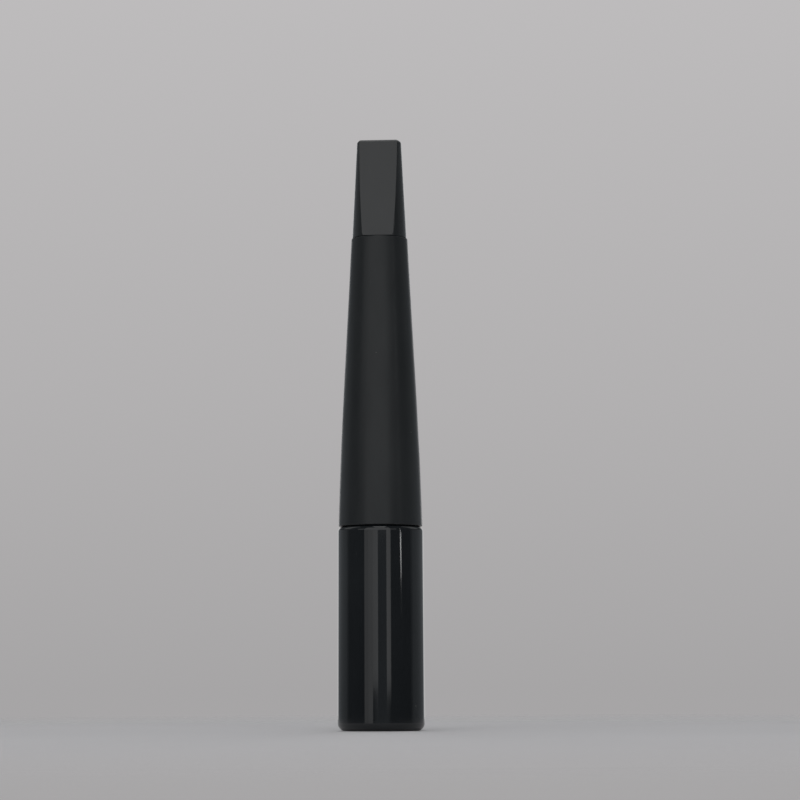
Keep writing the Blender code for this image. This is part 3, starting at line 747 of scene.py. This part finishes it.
def make_inner_cap():
    """The cup in the sleeve: ribs outside, the cap's thread inside and the stem's socket in its crown."""
    base = INNER_CAP_LOW.z
    top = INNER_CAP_HIGH.z
    inset = SLEEVE_WALL + FIT_GAP + RIB_HEIGHT
    rows = round((CAP_CEILING - base) / THREAD_ROW_HEIGHT)
    profile = [(0.0, top)]
    for step in range(INNER_CAP_RINGS + 1):
        height = between(top, base, step / INNER_CAP_RINGS)
        profile.append((sleeve_flank(height - SLEEVE_LOW.z) - inset, height))
    profile += rounded(CAP_BORE_RADIUS, base, EDGE_ROUND, INNER_BASE)
    profile += line(profile[-1], (CAP_BORE_RADIUS, CAP_CEILING), rows)
    profile += [(SOCKET_RADIUS, CAP_CEILING), (SOCKET_RADIUS, CAP_CEILING + SOCKET_DEPTH)]
    profile.append((0.0, CAP_CEILING + SOCKET_DEPTH))

    def cap_relief(angle, height, radius):
        if abs(radius - CAP_BORE_RADIUS) < SAME_PLACE:
            return -THREAD_DEPTH * thread_lift(angle, height)
        if radius > CAP_BORE_RADIUS and base + RIB_END_MARGIN < height < top - RIB_END_MARGIN:
            return RIB_HEIGHT * smooth((math.cos(angle * RIB_COUNT) - RIB_FOOT_COSINE) / RIB_FLANK_COSINE)
        return 0.0

    finish = moulded_plastic("inner_cap_plastic", **INNER_CAP_PLASTIC)
    piece = turned("inner_cap_body", profile, finish, relief=cap_relief)
    place(piece, "cap", "inner_cap_plastic", "inner_cap")


def make_sleeve():
    """The long tapered shell of the cap, with a bore for the plug's spigot at its upper end."""
    length = SLEEVE_HIGH.z - SLEEVE_LOW.z
    bore = SLEEVE_TOP_RADIUS - SLEEVE_WALL
    bore_base = length - SPIGOT_LENGTH - SLEEVE_WALL
    flank_top = length - SLEEVE_TOP_ROUND
    profile = [(bore, bore_base), (bore, length)]
    profile += rounded(sleeve_flank(flank_top), length, SLEEVE_TOP_ROUND, OUTER_TOP, SLEEVE_TOP_STEPS)
    for step in range(1, SLEEVE_FLANK_RINGS):
        height = between(flank_top, SLEEVE_BASE_ROUND, step / SLEEVE_FLANK_RINGS)
        profile.append((sleeve_flank(height), height))
    foot = sleeve_flank(SLEEVE_BASE_ROUND)
    profile += rounded(foot, -SLEEVE_BASE_DROP, SLEEVE_BASE_ROUND, OUTER_BASE, SLEEVE_BASE_STEPS)
    for step in range(SLEEVE_BORE_RINGS + 1):
        height = between(-SLEEVE_BASE_DROP, bore_base, step / SLEEVE_BORE_RINGS)
        profile.append((sleeve_flank(height) - SLEEVE_WALL, height))
    profile = [(radius, height + SLEEVE_LOW.z) for radius, height in profile]
    finish = moulded_plastic("cap_satin_black", **SLEEVE_PLASTIC)
    piece = turned("cap_sleeve", profile, finish, closed=True)
    place(piece, "cap", "cap_satin_black", "outer_cap_sleeve")


def plug_angles(corner):
    """Angles of a quarter section, closer together round the flat's corner."""
    low = corner - math.radians(PLUG_CORNER_DEGREES)
    high = corner + math.radians(PLUG_CORNER_DEGREES)
    shares = [step / PLUG_QUARTER_STEPS for step in range(PLUG_QUARTER_STEPS)]
    angles = [between(0.0, low, share) for share in shares]
    angles += [between(low, high, share) for share in shares]
    angles += [between(high, math.pi / 2, share) for share in shares]
    return angles


def plug_section(radius, half_thickness, height, corner):
    """One outline of the end plug: a circle held in between two flats, with softened corners."""
    quarter = plug_angles(corner)
    angles = quarter + [math.pi / 2] + [math.pi - angle for angle in reversed(quarter[1:])]
    angles += [math.pi + angle for angle in angles]
    points = []
    for angle in angles:
        over = radius * abs(math.sin(angle)) / half_thickness
        reach = radius * (1 + over ** PLUG_CORNER_EXPONENT) ** (-1 / PLUG_CORNER_EXPONENT)
        turn = angle + FLAT_TURN
        points.append((reach * math.cos(turn), reach * math.sin(turn), height))
    return points


def make_plug():
    """The plug that ends the cap: a blunt chisel between two flats, with a hollow spigot in the sleeve."""
    spigot_base = PLUG_LOW.z
    seat = spigot_base + SPIGOT_LENGTH
    tip = PLUG_HIGH.z
    lip = seat - PLUG_LIP_DROP
    core_top = seat + PLUG_CORE_TOP
    spigot_radius = SLEEVE_TOP_RADIUS - SLEEVE_WALL - FIT_GAP
    core_radius = spigot_radius - PLUG_WALL
    corner = math.asin(PLUG_BASE_HALF_THICKNESS / PLUG_BASE_RADIUS)

    def body_section(height, inset, undercut=0.0):
        share = (height - seat) / (tip - seat)
        radius = between(PLUG_BASE_RADIUS, PLUG_TIP_RADIUS, share) - inset
        half = between(PLUG_BASE_HALF_THICKNESS, PLUG_TIP_HALF_THICKNESS, share) - inset - undercut
        return plug_section(radius, half, height, math.asin(min(PLUG_WIDEST_FLAT_SHARE, half / radius)))

    face = body_section(tip, PLUG_TIP_ROUND)
    sections = [[(x * share, y * share, z) for x, y, z in face] for share in PLUG_FACE_SHARES]
    for step in range(PLUG_TIP_STEPS + 1):
        angle = math.pi / 2 * (1 - step / PLUG_TIP_STEPS)
        height = tip - PLUG_TIP_ROUND * (1 - math.sin(angle))
        sections.append(body_section(height, PLUG_TIP_ROUND * (1 - math.cos(angle))))
    for step in range(1, PLUG_BODY_RINGS + 1):
        height = between(tip - PLUG_TIP_ROUND, seat + PLUG_SEAM_HEIGHT, step / PLUG_BODY_RINGS)
        sections.append(body_section(height, 0.0))
    sections.append(body_section(lip + EDGE_ROUND, 0.0, PLUG_SEAM_DEPTH))
    sections.append(body_section(lip, EDGE_ROUND, PLUG_SEAM_DEPTH))
    for radius, height in (
            (spigot_radius, lip), (spigot_radius, spigot_base + SPIGOT_CHAMFER),
            (spigot_radius - SPIGOT_CHAMFER, spigot_base), (core_radius, spigot_base),
            (core_radius, core_top)):
        sections.append(plug_section(radius, radius * FLATS_OUT_OF_REACH, height, corner))
    vertices = [(0.0, 0.0, tip)]
    rings = [[0]]
    for section in sections:
        rings.append(range(len(vertices), len(vertices) + len(section)))
        vertices += section
    rings.append([len(vertices)])
    vertices.append((0.0, 0.0, core_top))
    finish = moulded_plastic("plug_satin_black", **PLUG_PLASTIC)
    piece = new_piece("end_plug_body", vertices, ring_faces(rings), finish)
    place(piece, "cap", "plug_satin_black", "end_plug")


# Pieces of the applicator

def make_stem():
    """The rod that hangs from the cap's crown, with a collar on top and a socket for the ferrule below."""
    seat = CAP_CEILING - SEAT_GAP
    collar_base = seat - COLLAR_THICKNESS
    top = STEM_HIGH.z
    base = STEM_LOW.z
    taper_top = (STEM_RADIUS, between(seat, base, STEM_TAPER_SHARE))
    socket = FERRULE_RADIUS + FIT_GAP
    socket_top = base + FERRULE_INSERT + SEAT_GAP
    profile = [(0.0, top)] + rounded(STEM_RADIUS, top, STEM_TOP_ROUND, OUTER_TOP, ROD_EDGE_STEPS)
    profile.append((STEM_RADIUS, seat))
    profile += rounded(COLLAR_RADIUS, seat, EDGE_ROUND, OUTER_TOP)
    profile += rounded(COLLAR_RADIUS, collar_base, EDGE_ROUND, OUTER_BASE)
    profile += rounded(STEM_RADIUS, collar_base, EDGE_ROUND, INNER_TOP)[::-1]
    profile += line(profile[-1], taper_top, TAPER_RINGS)
    profile += line(taper_top, (STEM_TIP_RADIUS, base + STEM_TIP_ROUND), TAPER_RINGS)
    profile += rounded(STEM_TIP_RADIUS, base, STEM_TIP_ROUND, OUTER_BASE, ROD_EDGE_STEPS)[1:]
    profile += [(socket, base), (socket, socket_top), (0.0, socket_top)]
    finish = moulded_plastic("stem_black_plastic", **STEM_PLASTIC)
    piece = turned("stem_rod", profile, finish, segments=STEM_SEGMENTS)
    place(piece, "applicator", "stem_black_plastic", "applicator_stem")


def make_ferrule():
    """The small tube that holds the hairs, set in the stem's end."""
    top = FERRULE_HIGH.z
    base = FERRULE_LOW.z
    socket = TUFT_RADIUS + FIT_GAP
    socket_top = base + TUFT_INSERT + SEAT_GAP
    profile = [(0.0, top)] + rounded(FERRULE_RADIUS, top, EDGE_ROUND, OUTER_TOP, SMALL_EDGE_STEPS)
    profile.append((FERRULE_RADIUS, top - FERRULE_INSERT))
    profile += line(profile[-1], (FERRULE_TIP_RADIUS, base + EDGE_ROUND), TAPER_RINGS)
    profile += rounded(FERRULE_TIP_RADIUS, base, EDGE_ROUND, OUTER_BASE, SMALL_EDGE_STEPS)[1:]
    profile += [(socket, base), (socket, socket_top), (0.0, socket_top)]
    finish = moulded_plastic("ferrule_black_plastic", **FERRULE_PLASTIC)
    piece = turned("ferrule_tube", profile, finish, segments=SMALL_SEGMENTS)
    place(piece, "applicator", "ferrule_black_plastic", "brush_ferrule")


def hair_vertices(bearing, reach, end):
    """Rings along one hair, from its root in the ferrule down to its end."""
    root = TUFT_HIGH.z
    mouth = root - TUFT_INSERT
    vertices = []
    for step in range(HAIR_POINTS):
        share = step / (HAIR_POINTS - 1)
        height = between(root, end, share)
        drawn = max(0.0, (mouth - height) / (mouth - TUFT_LOW.z)) ** HAIR_DRAW_EXPONENT
        offset = reach * (1 - HAIR_DRAW_SHARE * drawn)
        radius = HAIR_RADIUS * (1 - HAIR_THINNING_SHARE * share ** 3)
        for side in range(HAIR_SIDES):
            turn = bearing + 2 * math.pi * side / HAIR_SIDES
            vertices.append((
                offset * math.cos(bearing) + radius * math.cos(turn),
                offset * math.sin(bearing) + radius * math.sin(turn), height))
    return vertices


def hair_faces(first):
    """Faces of one hair, counted from its first vertex, with both ends closed."""
    starts = [first + step * HAIR_SIDES for step in range(HAIR_POINTS)]
    rings = [range(start, start + HAIR_SIDES) for start in starts]
    return ring_faces(rings) + [list(rings[0]), list(reversed(rings[-1]))]


def make_brush():
    """Fine hairs from the ferrule's mouth, drawn together to a point by the liquid."""
    dice = random.Random(HAIR_SEED)
    mouth = TUFT_HIGH.z - TUFT_INSERT
    vertices = []
    faces = []
    for hair in range(HAIR_COUNT):
        spread = math.sqrt((hair + 0.5) / HAIR_COUNT)
        bearing = hair * HAIR_SPIRAL_STEP + dice.uniform(-HAIR_BEARING_SCATTER, HAIR_BEARING_SCATTER)
        stagger = HAIR_STAGGER_SHARE * spread ** 2 * dice.uniform(HAIR_LEAST_STAGGER, 1.0)
        end = between(TUFT_LOW.z, mouth, stagger + HAIR_END_SCATTER_SHARE * dice.random())
        faces += hair_faces(len(vertices))
        vertices += hair_vertices(bearing, (TUFT_RADIUS - HAIR_RADIUS) * spread, end)
    piece = new_piece("brush_hairs", vertices, faces, brush_hair("brush_hair_black"), HAIR_SHARP_DEGREES)
    place(piece, "applicator", "brush_hair_black", "brush_tuft")


# Studio

def direction(azimuth_degrees):
    """Level unit vector away from the object: towards the camera at 0, to the picture's right at 90."""
    azimuth = math.radians(azimuth_degrees)
    return Vector((math.sin(azimuth), -math.cos(azimuth), 0.0))


def add_soft_light(name, centre, width, length, watts):
    """A rectangular lamp that the camera doesn't see. It shines down until it is turned."""
    lamp = bpy.data.lights.new(name, "AREA")
    lamp.shape = "RECTANGLE"
    lamp.size = width
    lamp.size_y = length
    lamp.energy = watts
    item = bpy.data.objects.new(name, lamp)
    item.location = centre
    item.visible_camera = False
    bpy.context.scene.collection.objects.link(item)
    return item


def make_lamp(name, azimuth_from, azimuth_to, elevation_from, elevation_to, brightness):
    """An upright soft light that fills the given angles as the object sees them."""
    outwards = direction((azimuth_from + azimuth_to) / 2)
    width = 2 * LAMP_DISTANCE * math.tan(math.radians(azimuth_to - azimuth_from) / 2)
    low = LAMP_DISTANCE * math.tan(math.radians(elevation_from))
    high = LAMP_DISTANCE * math.tan(math.radians(elevation_to))
    middle = outwards * LAMP_DISTANCE + Vector((0, 0, (low + high) / 2))
    item = add_soft_light(name, middle, width, high - low, brightness * math.pi * width * (high - low))
    item.rotation_euler = outwards.to_track_quat("Z", "Y").to_euler()


def facing(graph, ray, azimuth_degrees):
    """Cosine of the angle between a ray and a level direction."""
    inputs = {0: ray, 1: direction(azimuth_degrees)}
    return graph.add("VectorMath", inputs, operation="DOT_PRODUCT").outputs["Value"]


def room_light(graph, ray, height):
    """What the object sees: dim sides, a faint glow in front, a paler room behind and a dim ceiling."""
    in_front = graph.remap(facing(graph, ray, FRONT_AZIMUTH), *FRONT_FADE)
    behind = graph.remap(facing(graph, ray, REAR_AZIMUTH), *REAR_FADE)
    overhead = graph.remap(height, *TOP_FADE)
    sides = graph.remap(height, 0.0, HORIZON_FADE, *ROOM_SIDE_LEVELS)
    rear = graph.remap(height, 0.0, HORIZON_FADE, *ROOM_REAR_LEVELS)
    around = graph.mix_numbers(behind, graph.mix_numbers(in_front, sides, ROOM_FRONT_LEVEL), rear)
    level = graph.mix_numbers(overhead, around, ROOM_TOP_LEVEL)
    return graph.add("VectorMath", {0: ROOM_TINT, "Scale": level}, operation="SCALE").outputs["Vector"]


def backdrop_colour(graph, height):
    """The backdrop's colours, from the horizon up, with painted shade that makes them darker towards the
    horizon.
    """
    ramp = graph.add("ValToRGB", {"Fac": graph.remap(height, 0.0, BACKDROP_TOP)})
    stops = ramp.color_ramp.elements
    while len(stops) < len(BACKDROP_LEVELS):
        stops.new(0.5)
    for stop, (position, level) in zip(stops, BACKDROP_LEVELS):
        stop.position = position
        stop.color = (*(level * share for share in BACKDROP_TINT), 1)
    return ramp.outputs["Color"]


def make_world():
    """A room that is pale for the camera, and for reflections too where the backdrop stands."""
    world = bpy.data.worlds.new("studio")
    bpy.context.scene.world = world
    graph = Graph(world)
    ray = graph.add("TexCoord", {}).outputs["Generated"]
    height = graph.add("SeparateXYZ", {"Vector": ray}).outputs["Z"]
    rays = graph.add("LightPath", {}).outputs
    mirrored = graph.combine("MAXIMUM", rays["Is Glossy Ray"], rays["Is Transmission Ray"])
    at_backdrop = graph.remap(facing(graph, ray, BACKDROP_AZIMUTH), *BACKDROP_FADE)
    pale_mirrored = graph.combine("MULTIPLY", mirrored, at_backdrop)
    pale = graph.combine("MAXIMUM", rays["Is Camera Ray"], pale_mirrored)
    seen = graph.mix_colours(pale, room_light(graph, ray, height), backdrop_colour(graph, height))
    graph.feed(graph.nodes["Background"], {"Color": seen, "Strength": 1.0})


def make_floor():
    """A pale floor that fades into the backdrop with distance."""
    material, graph, shader = new_material("pale_floor")
    distance = graph.add("VectorMath", {0: graph.coordinates()}, operation="LENGTH").outputs["Value"]
    fade_end = FLOOR_RADIUS * FLOOR_FADE_END_SHARE
    graph.feed(shader, {
        "Base Color": tuple(FLOOR_ALBEDO * share for share in BACKDROP_TINT),
        "Roughness": FLOOR_ROUGHNESS,
        "Specular IOR Level": FLOOR_SPECULAR,
        "Alpha": graph.remap(distance, FLOOR_FADE_START, fade_end, 1.0, 0.0, "SMOOTHSTEP")})
    vertices = [(0.0, 0.0, 0.0)]
    for step in range(FLOOR_SEGMENTS):
        angle = 2 * math.pi * step / FLOOR_SEGMENTS
        vertices.append((FLOOR_RADIUS * math.cos(angle), FLOOR_RADIUS * math.sin(angle), 0.0))
    faces = [(0, step + 1, (step + 1) % FLOOR_SEGMENTS + 1) for step in range(FLOOR_SEGMENTS)]
    new_piece("pale_floor", vertices, faces, material)


def make_camera():
    """The photograph's camera, aimed so that the object stands where the photograph shows it."""
    width = PHOTO_WIDTH / PIXELS_PER_METRE
    aim_height = (PHOTO_BASE_ROW - PHOTO_WIDTH / 2) / PIXELS_PER_METRE
    aim_across = (PHOTO_WIDTH / 2 - PHOTO_AXIS_COLUMN) / PIXELS_PER_METRE
    target = Vector((aim_across, 0.0, aim_height))
    camera = bpy.data.cameras.new("photo_camera")
    camera.sensor_width = SENSOR_WIDTH_MM
    item = bpy.data.objects.new("photo_camera", camera)
    item.location = (aim_across, -CAMERA_DISTANCE, CAMERA_HEIGHT)
    view = target - item.location
    camera.lens = SENSOR_WIDTH_MM * view.length / width
    camera.clip_start = CAMERA_CLIP_START
    level = view.to_track_quat("-Z", "Y").to_matrix().to_4x4()
    item.rotation_euler = (level @ Matrix.Rotation(-CAMERA_ROLL, 4, "Z")).to_euler()
    bpy.context.scene.collection.objects.link(item)
    bpy.context.scene.camera = item


def make_studio():
    """The camera, the world, the floor and the lamps."""
    make_camera()
    make_world()
    make_floor()
    add_soft_light("softbox_top", TOP_LIGHT_PLACE, *TOP_LIGHT_SIZE, TOP_LIGHT_WATTS)
    for lamp in LAMPS:
        make_lamp(*lamp)
    bpy.context.scene.view_settings.view_transform = "Standard"


make_studio()
make_bottle()
make_label()
make_vial()
make_wiper()
make_ball()
make_gasket()
make_inner_cap()
make_sleeve()
make_plug()
make_stem()
make_ferrule()
make_brush()
